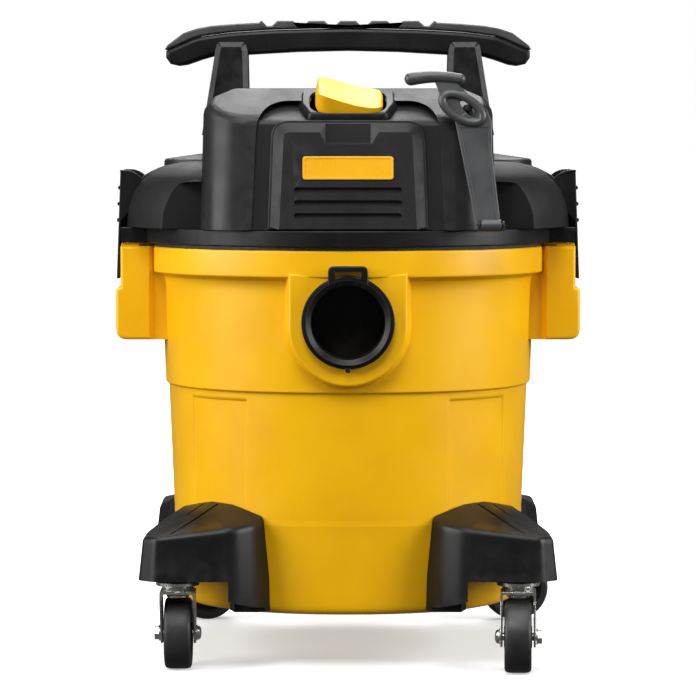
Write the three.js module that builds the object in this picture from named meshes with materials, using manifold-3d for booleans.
// Shop vacuum: a 22 litre plastic drum on four casters, with a lift-off motor head.
// Millimetres, +Z up. The front faces -Y, and the origin is on the floor under the drum's centre.

import * as THREE from 'three';
import { mergeVertices } from 'three/addons/utils/BufferGeometryUtils.js';
import Module from 'manifold-3d';

const wasm = await Module();
wasm.setup();

// ---------------------------------------------------------------- driving dimensions

const GAP = 0.3; // clearance between pieces that touch
const WALL = 3; // moulded wall thickness

const TANK = {
  bottom: 42.5,
  rim: 327.5,
  squareness: 2.25, // exponent of the plan outline, 2 is an ellipse
  depthRatio: 1.035, // front-to-back size over side-to-side size
  bandHalf: 160, // half width of the thick band at the mouth
  bandBottom: 308,
  wingHalf: 186, // side wings that carry the latches' lower ends
  wingRecess: 182.3,
  wingDepth: 50, // half length of a wing along Y
  wingBottom: 252.5,
  wingStep: 295,
  tongueTop: 330.2,
  bossHalf: 50, // raised pad round the inlet
  bossFront: 163.4,
};

const INLET = {
  z: 272.6,
  bore: 28.5, // 57 mm inlet for a 2 1/4 inch hose
  tube: 31,
  flange: 36,
  front: 173,
  tubeEnd: 140,
  tabHalf: 15.2,
  tabTop: 316,
  windowHalf: 10,
};

const LID = {
  bottom: 330.5,
  top: 342.6,
  radius: 169,
  lobeHalf: 181.8,
  lobeDepth: 52,
  deckBottom: 336,
  deckTop: 340,
  deckRadius: 150,
  skirtBottom: 318,
  eye: 17, // air hole that the float ball shuts
};

// Heights over the floor and the dome's size there, as a share of its half width and depth.
const DOME = {
  halfWidth: 181.6,
  halfDepth: 175,
  cutY: -102,
  levels: [[357, 0.994], [371, 0.967], [381, 0.929], [385.5, 0.89], [392, 0.813], [395.6, 0.665]],
};

const BOSS = {
  halfBase: 115,
  halfTop: 113,
  shoulder: 429,
  top: 453,
  topHalf: 82,
  frontBase: 154,
  frontTop: 143,
  slopeBottom: 430, // foot and head of the sloped front shoulder
  slopeBackY: 95,
  rear: 112,
  corner: 22, // rounding of its upright edges
};

const RECESS = { half: 70, top: 421, corner: 16, flare: 3, border: 4, depth: 2.6, back: 8 };
const PANEL = {
  half: 60,
  top: 417,
  face: 0.2,
  back: 2.4,
  grooves: [373, 363, 353],
  grooveHalf: 41,
  grooveFloor: 1.4,
};
const BADGE = { half: 35, halfHeight: 9, thickness: 1.2, z: 391 };

// Lines across the handle run from its right end to its middle, as [x, z] points.
const HANDLE = {
  barDepth: 15, // half depth of the bar along Y
  seam: [[148, 483.6], [122, 495.2], [95, 498.8], [60, 500.9], [0, 502.4]],
  underside: [[147, 478.5], [142, 473], [131, 472.8], [108, 480.2], [0, 484.5]],
  postInner: 80,
  postOuter: 107,
  postFoot: 114,
  postTop: 491,
  postDepth: 24,
};

const GRIP = {
  crest: [[148, 485.4], [133, 498.4], [110, 504.4], [72, 506.9]],
  top: 508.6,
  notches: 6,
  pitch: 25.4,
  notchTop: 12.8,
  notchFloor: 4.6,
  notchDepth: 4.4,
};

const SWITCH = {
  y: -118,
  openHalfX: 29,
  openHalfY: 18,
  bezelHalfX: 37,
  bezelHalfY: 23,
  rockerHalfX: 26.2,
  rockerHalfY: 16,
  bezelTop: 3.5,
};

const LATCH = {
  pivotX: 175,
  pivotZ: 371.5,
  halfDepth: 38,
  cheek: 6,
  plate: 2.2,
  topX: 182.8,
  bottomX: 186,
  top: 388,
  bottom: 301,
  cheekCentreX: 179,
  cheekRadius: 16.7,
  slotRadius: 20,
  lugRadius: 4.6,
  pinRadius: 1.5,
  ribs: [374, 361, 348],
};

const STRAP = {
  pivotX: 110,
  pivotY: -163,
  pivotZ: 347,
  lean: 8, // degrees back from vertical
  length: 114, // anchor pin to T bar
  ringAlong: 91,
  thickness: 5,
};

const FOOT = {
  bottom: 71,
  outer: 163,
  front: 168,
  outerTop: 107,
  innerTop: 129,
  gussetBottom: 45,
  sweep: 41, // clear radius under the foot for the caster to swivel in
  slopeNear: 150, // distances from the drum's axis between which the top slopes
  slopeFar: 235,
};

const CASTER = {
  x: 132.5,
  y: 144,
  trail: 11,
  wheelRadius: 28,
  treadHalf: 9.1,
  hubHalf: 10.2,
  axleRadius: 3,
  stemRadius: 5.5,
  legInner: 12,
  legOuter: 13.8,
  yaw: { front_left: 0, front_right: 177, rear_left: -64, rear_right: -80 },
};

const MOTOR = { shaft: 4, shaftBottom: 346, shaftTop: 443 };

const EXHAUST = { z: 368, bore: 20, tube: 22.6, flange: 27, rear: 181, start: 148 };

const GLAND = { x: -72, z: 366, y: 167, radius: 9, bore: 4.2 };

// ---------------------------------------------------------------- solids and booleans

/** Closed manifold solid of a three.js geometry, with its faces turned outwards. */
function solid(geometry) {
  geometry.deleteAttribute('normal');
  geometry.deleteAttribute('uv');
  const merged = mergeVertices(geometry, 1e-4);
  const position = merged.attributes.position.array;
  const kept = [];
  for (let i = 0; i < merged.index.count; i += 3) {
    const [a, b, c] = [0, 1, 2].map((k) => merged.index.getX(i + k));
    if (a !== b && b !== c && c !== a) kept.push(a, b, c);
  }
  if (signedVolume(position, kept) < 0) kept.reverse();
  const mesh = new wasm.Mesh({ numProp: 3, vertProperties: position, triVerts: Uint32Array.from(kept) });
  return new wasm.Manifold(mesh);
}

/** Volume of a triangle mesh, negative when its faces point inwards. */
function signedVolume(position, triangles) {
  const corner = (index) => new THREE.Vector3().fromArray(position, 3 * index);
  let volume = 0;
  for (let i = 0; i < triangles.length; i += 3) {
    const [a, b, c] = [0, 1, 2].map((k) => corner(triangles[i + k]));
    volume += a.dot(b.cross(c)) / 6;
  }
  return volume;
}

/** three.js geometry of a manifold solid. */
function geometryOf(manifold) {
  const mesh = manifold.getMesh();
  const geometry = new THREE.BufferGeometry();
  geometry.setAttribute('position', new THREE.BufferAttribute(new Float32Array(mesh.vertProperties), 3));
  geometry.setIndex(new THREE.BufferAttribute(new Uint32Array(mesh.triVerts), 1));
  geometry.computeVertexNormals();
  return geometry;
}

const join = (first, ...rest) => rest.reduce((whole, next) => whole.add(next), first);
const cut = (first, ...rest) => rest.reduce((whole, next) => whole.subtract(next), first);

const shapeOf = (points) => new THREE.Shape(points.map(([x, y]) => new THREE.Vector2(x, y)));

/** Box between two values on each axis. */
function box(x0, x1, y0, y1, z0, z1) {
  const geometry = new THREE.BoxGeometry(x1 - x0, y1 - y0, z1 - z0);
  return solid(geometry.translate((x0 + x1) / 2, (y0 + y1) / 2, (z0 + z1) / 2));
}

/** Outline in XY extruded from z0 to z1. */
function prism(shape, z0, z1) {
  const options = { depth: z1 - z0, bevelEnabled: false, curveSegments: 5 };
  return solid(new THREE.ExtrudeGeometry(shape, options).translate(0, 0, z0));
}

/** Outline in XZ extruded along Y from y0 to y1. */
function slabY(shape, y0, y1) {
  const options = { depth: y1 - y0, bevelEnabled: false, curveSegments: 6 };
  return solid(new THREE.ExtrudeGeometry(shape, options).rotateX(Math.PI / 2).translate(0, y1, 0));
}

/** Outline given as [y, z] points, extruded along X from x0 to x1. */
function slabX(points, x0, x1) {
  const geometry = new THREE.ExtrudeGeometry(shapeOf(points), { depth: x1 - x0, bevelEnabled: false });
  return solid(geometry.rotateX(Math.PI / 2).rotateZ(Math.PI / 2).translate(x0, 0, 0));
}

/** Cylinder along X, Y or Z between two values, centred on the other two coordinates. */
function rod(axis, radius, from, to, [u, v] = [0, 0], segments = 16) {
  const geometry = new THREE.CylinderGeometry(radius, radius, to - from, segments);
  const middle = (from + to) / 2;
  if (axis === 'x') return solid(geometry.rotateZ(-Math.PI / 2).translate(middle, u, v));
  if (axis === 'y') return solid(geometry.translate(u, middle, v));
  return solid(geometry.rotateX(Math.PI / 2).translate(u, v, middle));
}

/** Profile of [radius, height] points turned about Z. A ring's profile ends where it starts. */
function turned(points, segments = 24) {
  const profile = points.map(([r, z]) => new THREE.Vector2(r, z));
  return solid(new THREE.LatheGeometry(profile, segments).rotateX(Math.PI / 2));
}

/** Ring of rectangular section about Z. */
function ring(inner, outer, z0, z1, segments = 24) {
  return turned([[inner, z0], [outer, z0], [outer, z1], [inner, z1], [inner, z0]], segments);
}

/** Outline extruded through levels of [z, scaleX, scaleY], like a stack of scaled slices. */
function loft(shape, levels) {
  const steps = levels.length - 1;
  const geometry = new THREE.ExtrudeGeometry(shape, { depth: steps, steps, bevelEnabled: false });
  const position = geometry.attributes.position;
  for (let i = 0; i < position.count; i += 1) {
    const [z, scaleX, scaleY] = levels[Math.round(position.getZ(i))];
    position.setXYZ(i, position.getX(i) * scaleX, position.getY(i) * scaleY, z);
  }
  return solid(geometry);
}

/** Superellipse of half sizes 1 with the given exponent. */
function unitOutline(exponent, count) {
  const bend = (value) => Math.sign(value) * Math.abs(value) ** (2 / exponent);
  const points = [];
  for (let i = 0; i < count; i += 1) {
    const angle = (2 * Math.PI * i) / count;
    points.push([bend(Math.cos(angle)), bend(Math.sin(angle))]);
  }
  return shapeOf(points);
}

/** Rectangle of half sizes a and b with rounded corners, centred at x 0 and a given y. */
function roundedRectangle(a, b, r, y = 0) {
  const shape = new THREE.Shape();
  shape.moveTo(a, y - b + r);
  shape.lineTo(a, y + b - r);
  shape.absarc(a - r, y + b - r, r, 0, Math.PI / 2);
  shape.lineTo(-a + r, y + b);
  shape.absarc(-a + r, y + b - r, r, Math.PI / 2, Math.PI);
  shape.lineTo(-a, y - b + r);
  shape.absarc(-a + r, y - b + r, r, Math.PI, 1.5 * Math.PI);
  shape.lineTo(a - r, y - b);
  shape.absarc(a - r, y - b + r, r, 1.5 * Math.PI, 2 * Math.PI);
  return shape;
}

// ---------------------------------------------------------------- materials and placing

const vacuum = new THREE.Group();

const finishes = {
  yellow: [0xf2b81c, 0.35, 0],
  black: [0x1c1c1d, 0.5, 0],
  housing: [0x2c2c2f, 0.45, 0],
  rubber: [0x3a3b3c, 0.75, 0],
  wheel: [0x202020, 0.6, 0],
  steel: [0x9a9a96, 0.35, 1],
  foam: [0x333333, 0.95, 0],
  paper: [0xe8e4d8, 0.9, 0],
  white: [0xdcdcd8, 0.5, 0],
  copper: [0x9a5a32, 0.45, 1],
  badge: [0xf0b020, 0.3, 0],
};

/** Adds a named mesh with its own material to a group. */
function place(name, manifold, finish, group = vacuum) {
  const [color, roughness, metalness] = finishes[finish];
  const material = new THREE.MeshStandardMaterial({ color, roughness, metalness });
  const mesh = new THREE.Mesh(geometryOf(manifold), material);
  mesh.name = name;
  group.add(mesh);
}

// ---------------------------------------------------------------- drum

/** Drum outline from the floor of the drum to its mouth, grown or shrunk by an offset. */
function tankLevels(offset, floor, mouth) {
  const halves = [
    [floor, 131],
    [floor + 6, 137.4],
    [131, 142],
    [216, 145.5],
    [217.5, 148],
    [245, 149],
    [TANK.bandBottom - 3, 151],
    [TANK.bandBottom, TANK.bandHalf],
    [mouth, TANK.bandHalf],
  ];
  return halves.map(([z, half]) => [z, half + offset, half * TANK.depthRatio + offset]);
}

function tankBody(offset, floor, mouth) {
  return loft(unitOutline(TANK.squareness, 36), tankLevels(offset, floor, mouth));
}

/** One side wing, as seen from the front, with its latch recess and rounded lower corner. */
function wing(side) {
  const corner = 10;
  const shape = new THREE.Shape();
  shape.moveTo(142, TANK.rim);
  shape.lineTo(142, TANK.wingBottom);
  shape.lineTo(TANK.wingHalf - corner, TANK.wingBottom);
  shape.absarc(TANK.wingHalf - corner, TANK.wingBottom + corner, corner, -Math.PI / 2, 0);
  shape.lineTo(TANK.wingHalf, TANK.wingStep - 2);
  shape.lineTo(TANK.wingRecess, TANK.wingStep);
  shape.lineTo(TANK.wingRecess, TANK.rim);
  const outer = slabY(shape, -TANK.wingDepth, TANK.wingDepth);
  return side > 0 ? outer : turnedHalf(outer);
}

/** The same solid turned by half a turn about Z. */
function turnedHalf(manifold) {
  return solid(geometryOf(manifold).rotateZ(Math.PI));
}

/** Raised pad round the inlet, straight sided above and round below. */
function inletBoss() {
  const shape = new THREE.Shape();
  const centre = TANK.wingBottom + 16;
  shape.moveTo(-TANK.bossHalf, TANK.bandBottom + 4);
  shape.lineTo(-TANK.bossHalf, centre);
  shape.absarc(0, centre, TANK.bossHalf, Math.PI, 2 * Math.PI);
  shape.lineTo(TANK.bossHalf, TANK.bandBottom + 4);
  return slabY(shape, -TANK.bossFront, -120);
}

function tank() {
  const outside = join(tankBody(0, TANK.bottom, TANK.rim), wing(1), wing(-1), inletBoss());
  const insideLevels = [
    [TANK.bottom + WALL, 134],
    [245, 146],
    [TANK.bandBottom, 148.5],
    [TANK.rim + 5, TANK.bandHalf - WALL],
  ];
  const inside = loft(
    unitOutline(TANK.squareness, 28),
    insideLevels.map(([z, half]) => [z, half, half * TANK.depthRatio]),
  );
  const pocket = (side) => {
    const outer = TANK.wingRecess - WALL;
    const depth = TANK.wingDepth - WALL;
    const x = side > 0 ? [120, outer] : [-outer, -120];
    return box(...x, -depth, depth, TANK.wingBottom + WALL, TANK.rim + 5);
  };
  const port = rod('y', INLET.tube + GAP, -180, -100, [0, INLET.z], 24);
  const shell = cut(outside, inside, pocket(1), pocket(-1), port);
  const tongue = (side) => {
    const wall = TANK.wingRecess - 1;
    const x = side > 0 ? [wall - 14, wall] : [-wall, 14 - wall];
    const span = TANK.wingDepth - 1;
    return box(...x, -span, 1.5 - span, TANK.rim - 8, TANK.tongueTop);
  };
  return join(shell, tongue(1), tongue(-1));
}

function inletPort() {
  const back = TANK.bossFront + 2.4;
  const body = join(
    rod('y', INLET.flange, -INLET.front, -back, [0, INLET.z], 24),
    rod('y', INLET.tube, -back - 1, -INLET.tubeEnd, [0, INLET.z], 24),
    box(-INLET.tabHalf, INLET.tabHalf, -INLET.front + 2, -back - 0.6, INLET.z, INLET.tabTop),
  );
  const windowBottom = INLET.z + INLET.flange + 0.4;
  return cut(
    body,
    rod('y', INLET.bore, -180, -100, [0, INLET.z], 24),
    box(-INLET.windowHalf, INLET.windowHalf, -180, -150, windowBottom - 2, INLET.tabTop - 3.4),
  );
}

function inletGasket() {
  const back = TANK.bossFront;
  const disc = rod('y', INLET.flange - 2, -back - 2.1, -back - GAP, [0, INLET.z], 24);
  return cut(disc, rod('y', INLET.tube + GAP, -180, -100, [0, INLET.z], 32));
}

/** Hood inside the drum that turns the incoming air down and aside. */
function inletDeflector() {
  const mouth = -148;
  const end = -108;
  const outer = rod('y', INLET.tube + 3.5, mouth, end, [0, INLET.z], 24);
  const inner = rod('y', INLET.tube + 0.5, mouth - 1, end - WALL, [0, INLET.z], 24);
  const outlet = box(-60, 60, -134, end - WALL, INLET.z - 60, INLET.z - 6);
  return cut(outer, inner, outlet);
}

// ---------------------------------------------------------------- feet and casters

/** Corner foot: a hollow bracket that wraps the drum's lower corner and carries a caster. */
function foot(sideX, sideY) {
  const flip = (points) => points.map(([x, y]) => [x * sideX, y * sideY]);
  const plan = [[58, 128], [72, 160], [84, FOOT.front], [152, FOOT.front], [FOOT.outer, 157]];
  plan.push([FOOT.outer, 100], [150, 80], [128, 52], [90, 60]);
  const hollow = [[78, 120], [88, FOOT.front - WALL], [150, FOOT.front - WALL], [FOOT.outer - WALL, 155]];
  hollow.push([FOOT.outer - WALL, 103], [140, 78], [124, 64]);
  const gusset = [[58, 128], [66, 147], [78, 146], [141, 77], [138, 62], [90, 60]];
  const block = join(
    prism(shapeOf(flip(plan)), FOOT.bottom, FOOT.innerTop + 8),
    prism(shapeOf(flip(gusset)), FOOT.gussetBottom, FOOT.bottom + 1),
  );
  const swivel = [sideX * CASTER.x, sideY * CASTER.y];
  const column = rod('z', 12, FOOT.bottom - 1, FOOT.outerTop, swivel);
  const cavity = prism(shapeOf(flip(hollow)), FOOT.bottom - 1, FOOT.outerTop - 6).subtract(column);
  const sweep = rod('z', FOOT.sweep, FOOT.gussetBottom - 5, FOOT.bottom, swivel, 24);
  const bore = rod('z', CASTER.stemRadius + GAP, FOOT.bottom - 11, FOOT.outerTop - 8, swivel);
  const drum = tankBody(GAP + 0.2, TANK.bottom, TANK.rim);
  return cut(block, footTopCut(sideX, sideY), cavity, sweep, bore, drum);
}

/** What lies above the foot's sloping top: it falls from the drum to the outer corner. */
function footTopCut(sideX, sideY) {
  const reach = 120;
  const sky = 200;
  const start = [FOOT.slopeNear, FOOT.innerTop];
  const end = [FOOT.slopeFar, FOOT.outerTop - 6];
  const profile = shapeOf([[0, FOOT.innerTop], start, end, [FOOT.slopeFar, sky], [0, sky]]);
  const depth = 2 * reach;
  const geometry = new THREE.ExtrudeGeometry(profile, { depth, bevelEnabled: false });
  geometry.rotateX(Math.PI / 2).translate(0, reach, 0);
  return solid(geometry.rotateZ(Math.atan2(sideY * CASTER.y, sideX * CASTER.x)));
}

function casterStem() {
  const r = CASTER.stemRadius;
  const rivetHead = [[0, 57.2], [9, 57.2], [9, 59.6], [r, 59.6]];
  const race = [[r, 66.8], [17, 66.8], [17, 70.6], [r, 70.6]];
  const profile = [...rivetHead, ...race];
  return turned([...profile, [r, 98], [0, 98]], 14);
}

/** Pressed steel fork: a swivel plate and two legs that reach down to the axle. */
function casterFork() {
  const legs = [-1, 1].map((side) => {
    const shape = new THREE.Shape();
    shape.moveTo(-12, 64);
    shape.lineTo(CASTER.trail - 8, CASTER.wheelRadius - 3);
    shape.absarc(CASTER.trail, CASTER.wheelRadius, 8.5, 1.2 * Math.PI, 2 * Math.PI);
    shape.lineTo(17, 64);
    const depth = CASTER.legOuter - CASTER.legInner;
    const geometry = new THREE.ExtrudeGeometry(shape, { depth, bevelEnabled: false, curveSegments: 4 });
    geometry.rotateX(Math.PI / 2).rotateZ(Math.PI / 2);
    const start = side > 0 ? CASTER.legInner : -CASTER.legOuter;
    return solid(geometry.translate(start, 0, 0));
  });
  const plate = prism(roundedRectangle(CASTER.legOuter, 15, 2), 60.2, 63);
  const dish = turned([[0, 62.5], [13, 62.5], [12, 66.2], [0, 66.2]], 16);
  const bores = join(
    rod('z', CASTER.stemRadius + GAP, 50, 70, [0, 0], 14),
    rod('x', CASTER.axleRadius + GAP, -20, 20, [CASTER.trail, CASTER.wheelRadius], 12),
  );
  return cut(join(plate, dish, ...legs), bores);
}

/** Wheel turned about X, centred on its axle. */
function casterWheel() {
  const { treadHalf, hubHalf, wheelRadius } = CASTER;
  const bore = CASTER.axleRadius + GAP;
  const side = [[bore, hubHalf], [8, hubHalf], [9.5, treadHalf - 2], [20, treadHalf - 2]];
  side.push([22, treadHalf], [wheelRadius, treadHalf - 2]);
  const profile = [...side, ...side.map(([r, x]) => [r, -x]).reverse(), side[0]];
  const geometry = new THREE.LatheGeometry(profile.map(([r, x]) => new THREE.Vector2(r, x)), 18);
  return solid(geometry.rotateZ(-Math.PI / 2));
}

function casterAxle() {
  const head = CASTER.legOuter + GAP;
  return join(
    rod('x', CASTER.axleRadius, -head - 3, head + 3),
    rod('x', 5.2, head, head + 3.4, [0, 0], 16),
    rod('x', 5.6, -head - 4.2, -head, [0, 0], 6),
  );
}

function addCaster(name, sideX, sideY) {
  place(`foot_${name}`, foot(sideX, sideY), 'black');
  const swivel = new THREE.Group();
  swivel.position.set(sideX * CASTER.x, sideY * CASTER.y, 0);
  swivel.rotation.z = THREE.MathUtils.degToRad(CASTER.yaw[name]);
  vacuum.add(swivel);
  place(`caster_stem_${name}`, casterStem(), 'steel', swivel);
  place(`caster_fork_${name}`, casterFork(), 'steel', swivel);
  const axle = new THREE.Group();
  axle.position.set(0, CASTER.trail, CASTER.wheelRadius);
  swivel.add(axle);
  place(`caster_axle_${name}`, casterAxle(), 'steel', axle);
  place(`caster_wheel_${name}`, casterWheel(), 'wheel', axle);
}

// ---------------------------------------------------------------- head

function lidBase() {
  const rim = join(
    rod('z', LID.radius, LID.bottom, LID.top, [0, 0], 48),
    prism(roundedRectangle(LID.lobeHalf, LID.lobeDepth, 6), LID.bottom, LID.top),
    ring(151, 154, LID.skirtBottom, LID.deckBottom + 1, 24),
  );
  const lobeHollow = (side) => {
    const x = side > 0 ? [158, LID.lobeHalf - WALL] : [WALL - LID.lobeHalf, -158];
    return box(...x, -LID.lobeDepth + WALL, LID.lobeDepth - WALL, LID.bottom - 1, LID.deckTop);
  };
  return cut(
    rim,
    rod('z', 151, LID.bottom - 20, LID.deckBottom, [0, 0], 24),
    rod('z', LID.deckRadius, LID.deckTop, LID.top + 1, [0, 0], 40)
      .intersect(box(-200, 200, -98, 200, 0, 400)),
    rod('z', LID.eye, 300, 350),
    lobeHollow(1),
    lobeHollow(-1),
  );
}

function lidGasket() {
  const outline = unitOutline(TANK.squareness, 28);
  const slice = (half, ...heights) => loft(outline, heights.map((z) => [z, half, half * TANK.depthRatio]));
  const z0 = TANK.rim + GAP;
  const z1 = LID.bottom - GAP;
  const inner = TANK.bandHalf - WALL;
  return cut(slice(TANK.bandHalf - 0.5, z0, z1), slice(inner + 0.5, z0 - 1, z1 + 1));
}

/** Domed part of the motor cover, shrunk by an offset, with its flat front cut. */
function dome(offset, bottom) {
  const levels = [[bottom, 1], ...DOME.levels];
  const width = DOME.halfWidth - offset;
  const depth = DOME.halfDepth - offset;
  const scaled = levels.map(([z, s], i) => [i ? z - offset : z, width * s, depth * s]);
  const kept = offset ? scaled.filter((_, i) => i % 2 === 0) : scaled;
  const whole = loft(unitOutline(2, offset ? 28 : 36), kept);
  return whole.subtract(box(-200, 200, -250, DOME.cutY + offset, 300, 500));
}

/** Outline of the cover's raised middle as seen from the front. */
function bossOutline(offset, bottom) {
  const base = BOSS.halfBase + offset;
  const side = BOSS.halfTop + offset;
  const top = BOSS.top + offset;
  const rise = top - BOSS.shoulder;
  const shape = new THREE.Shape();
  shape.moveTo(-base, bottom);
  shape.lineTo(base, bottom);
  shape.lineTo(side, BOSS.shoulder);
  shape.quadraticCurveTo(side - 3, BOSS.shoulder + 0.8 * rise, BOSS.topHalf, top);
  shape.lineTo(-BOSS.topHalf, top);
  shape.quadraticCurveTo(-side + 3, BOSS.shoulder + 0.8 * rise, -side, BOSS.shoulder);
  return shape;
}

/** Raised middle of the cover, with its leaning front face and sloped front shoulder. */
function boss(offset, bottom) {
  const slope = (BOSS.top - BOSS.slopeBottom) / (BOSS.frontTop - BOSS.slopeBackY);
  const front = [
    [-BOSS.frontBase - offset, bottom - 5],
    [-BOSS.frontTop - offset, BOSS.slopeBottom],
    [-BOSS.slopeBackY, BOSS.top + offset * Math.hypot(1, slope)],
    [-BOSS.slopeBackY, 500],
    [-250, 500],
    [-250, bottom - 5],
  ];
  const body = slabY(bossOutline(offset, bottom), -BOSS.frontBase - 10, BOSS.rear + 10);
  const half = (BOSS.frontBase + BOSS.rear) / 2 + offset;
  const middle = (BOSS.rear - BOSS.frontBase) / 2;
  const plan = roundedRectangle(BOSS.halfBase + offset, half, BOSS.corner + offset, middle);
  return body.intersect(prism(plan, bottom - 10, 500)).subtract(slabX(front, -200, 200));
}

/** Slots in the dome for a latch's cheeks, round the latch's pivot. */
function latchSlots(side) {
  const inner = LATCH.halfDepth - LATCH.cheek - 0.6;
  const outer = LATCH.halfDepth + 0.6;
  const centre = [side * LATCH.pivotX, LATCH.pivotZ];
  return join(
    rod('y', LATCH.slotRadius, -outer, -inner, centre, 24),
    rod('y', LATCH.slotRadius, inner, outer, centre, 24),
  );
}

/** Lug between a latch's cheeks that holds its pin. */
function latchLug(side) {
  const half = LATCH.halfDepth - LATCH.cheek - 0.6;
  const x = side * LATCH.pivotX;
  const web = side > 0 ? [x - 12, x] : [x, x + 12];
  return join(
    rod('y', LATCH.lugRadius, -half, half, [x, LATCH.pivotZ]),
    box(...web, -half, half, LATCH.pivotZ - LATCH.lugRadius, LATCH.pivotZ + 1),
  );
}

/** Frame of the switch on the sloped shoulder: Z is the slope's normal. */
function onSlope(manifold) {
  const tilt = Math.atan2(BOSS.top - BOSS.slopeBottom, BOSS.frontTop - BOSS.slopeBackY);
  const z = slopeHeight(SWITCH.y);
  return solid(geometryOf(manifold).rotateX(tilt).translate(0, SWITCH.y, z));
}

/** Height of the sloped shoulder at a place along Y. */
function slopeHeight(y) {
  const fraction = (y + BOSS.frontTop) / (BOSS.frontTop - BOSS.slopeBackY);
  return BOSS.slopeBottom + fraction * (BOSS.top - BOSS.slopeBottom);
}

/** Where the cover's leaning front face is along Y, at a height. */
function frontFace(z) {
  const lean = (BOSS.frontBase - BOSS.frontTop) / (BOSS.slopeBottom - LID.top);
  return lean * (z - LID.top) - BOSS.frontBase;
}

/** Arched slab in the front face, from one depth to another, measured inwards from the face. */
function archedSlab(half, top, from, to) {
  const shape = new THREE.Shape();
  const r = RECESS.corner;
  shape.moveTo(-half - RECESS.flare, LID.top - 5);
  shape.lineTo(half + RECESS.flare, LID.top - 5);
  shape.lineTo(half, top - r);
  shape.quadraticCurveTo(half - 1, top - 1, half - r, top);
  shape.lineTo(r - half, top);
  shape.quadraticCurveTo(1 - half, top - 1, -half, top - r);
  const options = { depth: to - from, bevelEnabled: false, curveSegments: 6 };
  const geometry = new THREE.ExtrudeGeometry(shape, options);
  geometry.rotateX(Math.PI / 2).translate(0, to, 0);
  const position = geometry.attributes.position;
  for (let i = 0; i < position.count; i += 1) {
    position.setY(i, position.getY(i) + frontFace(position.getZ(i)));
  }
  return solid(geometry);
}

function motorCover() {
  const bottom = LID.top + GAP;
  const outside = join(dome(0, bottom), boss(0, bottom), latchLug(1), latchLug(-1));
  const inside = join(dome(WALL, bottom - 2), boss(-WALL, bottom - 2));
  const lugs = join(latchLug(1), latchLug(-1));
  const pins = join(latchPin(1, GAP), latchPin(-1, GAP));
  const recess = archedSlab(RECESS.half, RECESS.top, -1.4, RECESS.depth);
  const lining = archedSlab(RECESS.half + RECESS.border, RECESS.top + 3, 2, RECESS.back);
  const backing = lining.intersect(boss(0, bottom));
  const shell = join(outside.subtract(inside), lugs, backing);
  return cut(
    shell,
    recess,
    latchSlots(1).subtract(lugs),
    latchSlots(-1).subtract(lugs),
    pins,
    onSlope(box(-SWITCH.openHalfX, SWITCH.openHalfX, -SWITCH.openHalfY, SWITCH.openHalfY, -20, 20)),
    rod('y', EXHAUST.tube + GAP, 100, 220, [0, EXHAUST.z], 24),
    rod('y', GLAND.radius + GAP, 100, 220, [GLAND.x, GLAND.z]),
    strapPeg(GAP),
  );
}

/** Panel in the front recess, with three finger grooves. */
function frontPanel() {
  const plate = archedSlab(PANEL.half, PANEL.top, PANEL.face, PANEL.back);
  const grooves = PANEL.grooves.map((z) => {
    const floor = frontFace(z) + PANEL.grooveFloor;
    return box(-PANEL.grooveHalf, PANEL.grooveHalf, floor - 5, floor, z - 1.7, z + 1.7);
  });
  return cut(plate, ...grooves, box(-80, 80, -200, 0, 300, LID.top + 3));
}

function badgePlate() {
  const lean = Math.atan2(BOSS.frontBase - BOSS.frontTop, BOSS.slopeBottom - LID.top);
  const options = { depth: BADGE.thickness, bevelEnabled: false, curveSegments: 3 };
  const outline = roundedRectangle(BADGE.half, BADGE.halfHeight, 2);
  const geometry = new THREE.ExtrudeGeometry(outline, options);
  geometry.rotateX(Math.PI / 2 - lean);
  return solid(geometry.translate(0, frontFace(BADGE.z) - 0.15, BADGE.z));
}

// ---------------------------------------------------------------- handle

/** Line given from its right end to the middle, with its mirror image added on the left. */
function acrossMiddle(points) {
  const left = points.filter(([x]) => x > 0).map(([x, z]) => [-x, z]);
  return [...points, ...left.reverse()];
}

function carryHandle() {
  const bar = shapeOf([...acrossMiddle(HANDLE.underside), ...acrossMiddle(HANDLE.seam).reverse()]);
  const post = (side) => {
    const points = [[HANDLE.postInner, 440], [HANDLE.postFoot, 425], [HANDLE.postOuter, HANDLE.postTop]];
    points.push([HANDLE.postInner + 2, HANDLE.postTop]);
    const shape = shapeOf(points.map(([x, z]) => [side * x, z]));
    return slabY(shape, -HANDLE.postDepth, HANDLE.postDepth);
  };
  const whole = join(slabY(bar, -HANDLE.barDepth, HANDLE.barDepth), post(1), post(-1));
  return whole.subtract(boss(GAP, 400));
}

/** Soft grip that caps the bar, with finger notches at an even pitch. */
function handleGrip() {
  const floor = GRIP.top - GRIP.notchDepth;
  const notches = [];
  for (let i = GRIP.notches - 1; i >= 0; i -= 1) {
    const x = (i - (GRIP.notches - 1) / 2) * GRIP.pitch;
    notches.push([x + GRIP.notchTop / 2, GRIP.top], [x + GRIP.notchFloor / 2, floor]);
    notches.push([x - GRIP.notchFloor / 2, floor], [x - GRIP.notchTop / 2, GRIP.top]);
  }
  const left = GRIP.crest.map(([x, z]) => [-x, z]).reverse();
  const underside = acrossMiddle(HANDLE.seam).map(([x, z]) => [x, z + 2 * GAP]);
  const outline = shapeOf([...GRIP.crest, ...notches, ...left, ...underside.reverse()]);
  return slabY(outline, 1 - HANDLE.barDepth, HANDLE.barDepth - 1);
}

// ---------------------------------------------------------------- switch

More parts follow.
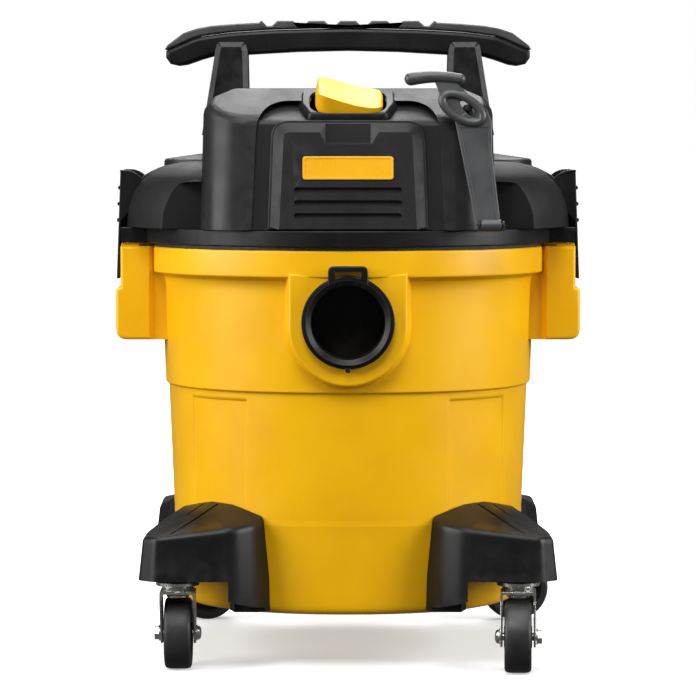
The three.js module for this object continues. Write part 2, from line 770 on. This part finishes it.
function switchBezel() {
  const outline = roundedRectangle(SWITCH.bezelHalfX, SWITCH.bezelHalfY, 7);
  const plate = prism(outline, GAP, SWITCH.bezelTop);
  const hole = roundedRectangle(SWITCH.openHalfX - 1.4, SWITCH.openHalfY - 1.2, 1);
  const skirt = prism(roundedRectangle(SWITCH.openHalfX - GAP, SWITCH.openHalfY - GAP, 1), -9, 1);
  return onSlope(join(plate, skirt).subtract(prism(hole, -20, 20)));
}

/** Two-lobed rocker, pressed down on its right end. */
function switchRocker() {
  const half = SWITCH.rockerHalfX;
  const shape = new THREE.Shape();
  shape.moveTo(-half, 2);
  shape.lineTo(3.2 - half, 13);
  shape.quadraticCurveTo(5 - half, 15.4, 9 - half, 13.6);
  shape.quadraticCurveTo(-2, 8, half - 5, 5);
  shape.quadraticCurveTo(half - 0.6, 4.4, half, 2);
  shape.lineTo(half - 3, -4);
  shape.lineTo(0, -8);
  shape.lineTo(-half + 4, -2);
  const pin = rod('y', 2 + GAP, -40, 40, [0, 0], 20);
  return onSlope(slabY(shape, -SWITCH.rockerHalfY, SWITCH.rockerHalfY).subtract(pin));
}

const rockerPin = () => {
  const half = SWITCH.openHalfY - 1.5;
  return onSlope(rod('y', 2, -half, half, [0, 0], 20));
};

const switchModule = () => onSlope(box(-18, 18, -11, 11, -38, -21));

// ---------------------------------------------------------------- latches

/** Latch built about its pivot, for the right-hand side. */
function latch() {
  const x = (value) => value - LATCH.pivotX;
  const z = (value) => value - LATCH.pivotZ;
  const plate = shapeOf([
    [x(LATCH.topX), z(LATCH.top)],
    [x(LATCH.topX - LATCH.plate), z(LATCH.top)],
    [x(LATCH.bottomX - LATCH.plate), z(LATCH.bottom)],
    [x(LATCH.bottomX), z(LATCH.bottom)],
  ]);
  const cheek = new THREE.Shape();
  const centre = x(LATCH.cheekCentreX);
  cheek.moveTo(x(LATCH.topX), z(LATCH.top));
  cheek.lineTo(centre, LATCH.cheekRadius);
  cheek.absarc(centre, 0, LATCH.cheekRadius, Math.PI / 2, Math.PI);
  cheek.lineTo(centre - 8, -12);
  cheek.lineTo(x(184.2), z(346));
  const inner = LATCH.halfDepth - LATCH.cheek;
  const lean = (LATCH.bottomX - LATCH.topX) / (LATCH.top - LATCH.bottom);
  const ribs = LATCH.ribs.map((height) => {
    const face = LATCH.topX + lean * (LATCH.top - height);
    return rod('y', 1.6, -LATCH.halfDepth + 3, LATCH.halfDepth - 3, [x(face), z(height)], 8);
  });
  const body = join(
    slabY(plate, -LATCH.halfDepth, LATCH.halfDepth),
    slabY(cheek, -LATCH.halfDepth, -inner),
    slabY(cheek, inner, LATCH.halfDepth),
    ...ribs,
  );
  const clearance = rod('y', LATCH.lugRadius + 0.8, -inner, inner, [0, 0]);
  return cut(body, clearance, rod('y', LATCH.pinRadius + GAP, -60, 60, [0, 0], 16));
}

function latchPin(side, extra = 0) {
  const half = LATCH.halfDepth - 1 + extra;
  return rod('y', LATCH.pinRadius + extra, -half, half, [side * LATCH.pivotX, LATCH.pivotZ], 16);
}

function addLatch(name, side) {
  const pivot = new THREE.Group();
  pivot.position.set(side * LATCH.pivotX, 0, LATCH.pivotZ);
  pivot.rotation.z = side > 0 ? 0 : Math.PI;
  vacuum.add(pivot);
  place(`latch_${name}`, latch(), 'black', pivot);
  place(`latch_pin_${name}`, latchPin(side), 'steel');
}

// ---------------------------------------------------------------- hose strap

/** Flat strap along its own length, then leaned back and put on its anchor. */
function hoseStrap() {
  const half = STRAP.thickness / 2;
  const shape = new THREE.Shape();
  shape.moveTo(-7.6, -3);
  shape.lineTo(7.6, -3);
  shape.lineTo(7.6, 6);
  shape.lineTo(3, 76);
  shape.absarc(-18, STRAP.ringAlong, 14.5, -0.3, 1.0);
  shape.lineTo(-22, STRAP.length);
  shape.lineTo(-40, STRAP.length);
  shape.lineTo(-33, STRAP.ringAlong);
  shape.lineTo(-24, 70);
  shape.lineTo(-7.6, 6);
  const flat = slabY(shape, -half, half);
  const bar = box(-65, -19, -half - 3.1, half + 2.4, STRAP.length - 7, STRAP.length + 4);
  const hole = slabY(ellipse(-18, STRAP.ringAlong, 6.6, 9.5), -30, 30);
  const ridge = slabY(ellipse(-18, STRAP.ringAlong, 13.5, 17), -half - 3, 0);
  const pin = rod('x', 2.2 + GAP, -20, 20, [0, 0], 16);
  const knuckle = rod('x', 5, -7.7, 7.7, [0, 0], 16);
  return cut(join(flat, bar, ridge, knuckle), hole, pin);
}

/** Ellipse of half sizes a and b about a point. */
function ellipse(x, z, a, b) {
  const shape = new THREE.Shape();
  shape.absellipse(x, z, a, b, 0, 2 * Math.PI);
  return shape;
}

/** Peg on the cover that the strap's ring hooks over. */
function strapPeg(extra = 0) {
  const geometry = new THREE.CylinderGeometry(4.6 + extra, 5 + extra, 30 + extra, 20);
  geometry.rotateX(Math.PI / 2 - THREE.MathUtils.degToRad(STRAP.lean));
  const along = STRAP.ringAlong;
  const lean = THREE.MathUtils.degToRad(STRAP.lean);
  const y = STRAP.pivotY + Math.sin(lean) * along;
  const z = STRAP.pivotZ + Math.cos(lean) * along;
  return solid(geometry.translate(STRAP.pivotX - 18, y + 9, z - 1.3));
}

function strapAnchor() {
  const { pivotX: x, pivotY: y, pivotZ: z } = STRAP;
  const ears = [-1, 1].map((side) => {
    const span = side > 0 ? [x + 8.3, x + 11] : [x - 11, x - 8.3];
    return join(rod('x', 5, ...span, [y, z], 16), box(...span, y - 5, y + 5, LID.top + GAP, z));
  });
  const base = box(x - 11, x + 11, y + 5.6, y + 9, LID.top + GAP, z - 1);
  const links = [-1, 1].map((side) => {
    const span = side > 0 ? [x + 8.3, x + 11] : [x - 11, x - 8.3];
    return box(...span, y, y + 7, LID.top + GAP, z - 1);
  });
  return join(...ears, base, ...links, rod('x', 2.2, x - 10, x + 10, [y, z], 16));
}

// ---------------------------------------------------------------- motor, fan and filter

function impeller() {
  const blades = [];
  const count = 6;
  for (let i = 0; i < count; i += 1) {
    const blade = new THREE.BoxGeometry(44, 1.6, 11).rotateZ(0.5).translate(40, 6, 358);
    blades.push(solid(blade.rotateZ((2 * Math.PI * i) / count)));
  }
  const disc = ring(MOTOR.shaft + GAP, 64, 363, 365, 20);
  const hub = ring(MOTOR.shaft + GAP, 11, 352, 368, 12);
  return cut(join(disc, hub, ...blades), rod('z', MOTOR.shaft + GAP, 300, 400));
}

function impellerHousing() {
  const profile = [[24, 345.5], [72, 345.5], [72, 369.5], [70, 369.5], [70, 348], [24, 348], [24, 345.5]];
  const vents = [0, 1, 2, 3].map((i) => {
    const slot = new THREE.BoxGeometry(20, 22, 12).translate(71, 0, 360);
    return solid(slot.rotateZ((Math.PI * i) / 2));
  });
  return cut(turned(profile, 20), ...vents);
}

const motorGasket = () => ring(30, 72, LID.deckTop + GAP, 345.2, 28);

function motorHousing() {
  const profile = [[16, 370], [71, 370], [71, 373], [50, 373], [50, 428], [16, 428], [16, 425], [47, 425]];
  const body = turned([...profile, [47, 374], [16, 374], [16, 370]], 20);
  const windows = [0, 1, 2, 3].map((i) => {
    const slot = new THREE.BoxGeometry(20, 22, 14).translate(49, 0, 412);
    return solid(slot.rotateZ((Math.PI * i) / 2 + Math.PI / 4));
  });
  return cut(body, ...windows);
}

const fieldCoil = () => ring(31, 46.4, 381, 402, 20);

const armature = () => ring(MOTOR.shaft + GAP, 29.5, 381, 404, 20);

function coolingFan() {
  const disc = ring(MOTOR.shaft + GAP, 12, 431, 441, 12);
  const blades = [0, 1, 2, 3, 4].map((i) => {
    const blade = new THREE.BoxGeometry(27, 1.6, 8).rotateX(0.5).translate(24, 0, 436);
    return solid(blade.rotateZ((2 * Math.PI * i) / 5));
  });
  return cut(join(disc, ...blades), rod('z', MOTOR.shaft + GAP, 400, 460));
}

const bearing = (z) => ring(MOTOR.shaft + GAP, 15.6, z, z + 6, 24);

function floatCage() {
  const ribs = [0, 1, 2, 3, 4, 5].map((i) => {
    const rib = new THREE.BoxGeometry(4, 5, 66).translate(33, 0, 297);
    return solid(rib.rotateZ((Math.PI * i) / 3));
  });
  const top = ring(26, 44, 330, LID.deckBottom - GAP, 18);
  const bottom = turned([[0, 258], [36, 258], [36, 264], [0, 264]], 18);
  const stud = rod('z', 4, 204, 260);
  return join(top, bottom, stud, ...ribs);
}

const floatBall = () =>
  solid(new THREE.SphereGeometry(22, 16, 10).rotateX(Math.PI / 2).translate(0, 0, 286.5));

function filterCartridge() {
  const points = [];
  const pleats = 22;
  for (let i = 0; i < 2 * pleats; i += 1) {
    const radius = i % 2 ? 68 : 61;
    const angle = (Math.PI * i) / pleats;
    points.push([radius * Math.cos(angle), radius * Math.sin(angle)]);
  }
  const pleated = prism(shapeOf(points), 222, 329);
  const lowerCap = rod('z', 70, 217.5, 223, [0, 0], 40);
  const upperCap = rod('z', 70, 328, LID.deckBottom - GAP, [0, 0], 40);
  const caps = join(lowerCap, upperCap);
  return join(pleated, caps).subtract(rod('z', 50, 200, 350, [0, 0], 24));
}

function filterRetainer() {
  const disc = turned([[0, 212], [66, 212], [66, 217.2], [0, 217.2]], 24);
  const knob = join(rod('z', 12, 203, 213), box(-22, 22, -3, 3, 203, 213));
  return cut(join(disc, knob), rod('z', 4 + GAP, 190, 230));
}

// ---------------------------------------------------------------- back of the head

function exhaustPort() {
  const { z, bore, tube, flange, rear, start } = EXHAUST;
  const body = join(
    rod('y', tube, start, rear, [0, z], 24),
    rod('y', flange, rear - 4, rear, [0, z], 24),
  );
  return body.subtract(rod('y', bore, 100, 220, [0, z], 32));
}

function cordGland() {
  const { x, z, y, radius, bore } = GLAND;
  const body = join(rod('y', radius, y - 26, y - 2, [x, z]), rod('y', radius + 3, y - 4, y, [x, z]));
  return body.subtract(rod('y', bore, 100, 220, [x, z]));
}

// ---------------------------------------------------------------- assembly

place('tank', tank(), 'yellow');
place('inlet_port', inletPort(), 'black');
place('inlet_gasket', inletGasket(), 'rubber');
place('inlet_deflector', inletDeflector(), 'black');

addCaster('front_left', -1, -1);
addCaster('front_right', 1, -1);
addCaster('rear_left', -1, 1);
addCaster('rear_right', 1, 1);

place('lid_base', lidBase(), 'black');
place('lid_gasket', lidGasket(), 'foam');
place('motor_cover', motorCover(), 'housing');
place('front_panel', frontPanel(), 'housing');
place('badge_plate', badgePlate(), 'badge');
place('carry_handle', carryHandle(), 'black');
place('handle_grip', handleGrip(), 'rubber');
place('switch_bezel', switchBezel(), 'black');
place('switch_rocker', switchRocker(), 'yellow');
place('rocker_pin', rockerPin(), 'steel');
place('switch_module', switchModule(), 'black');
addLatch('left', -1);
addLatch('right', 1);

const strap = new THREE.Group();
strap.position.set(STRAP.pivotX, STRAP.pivotY, STRAP.pivotZ);
strap.rotation.x = -THREE.MathUtils.degToRad(STRAP.lean);
vacuum.add(strap);
place('hose_strap', hoseStrap(), 'rubber', strap);
place('strap_peg', strapPeg(), 'black');
place('strap_anchor', strapAnchor(), 'black');

place('motor_gasket', motorGasket(), 'foam');
place('impeller_housing', impellerHousing(), 'white');
place('impeller', impeller(), 'white');
place('motor_housing', motorHousing(), 'black');
place('field_coil', fieldCoil(), 'copper');
place('armature', armature(), 'steel');
place('motor_shaft', rod('z', MOTOR.shaft, MOTOR.shaftBottom, MOTOR.shaftTop, [0, 0], 20), 'steel');
place('lower_bearing', bearing(374.4), 'steel');
place('upper_bearing', bearing(418.6), 'steel');
place('cooling_fan', coolingFan(), 'black');
place('float_cage', floatCage(), 'black');
place('float_ball', floatBall(), 'white');
place('filter_cartridge', filterCartridge(), 'paper');
place('filter_retainer', filterRetainer(), 'black');
place('exhaust_port', exhaustPort(), 'black');
place('cord_gland', cordGland(), 'rubber');

export default vacuum;
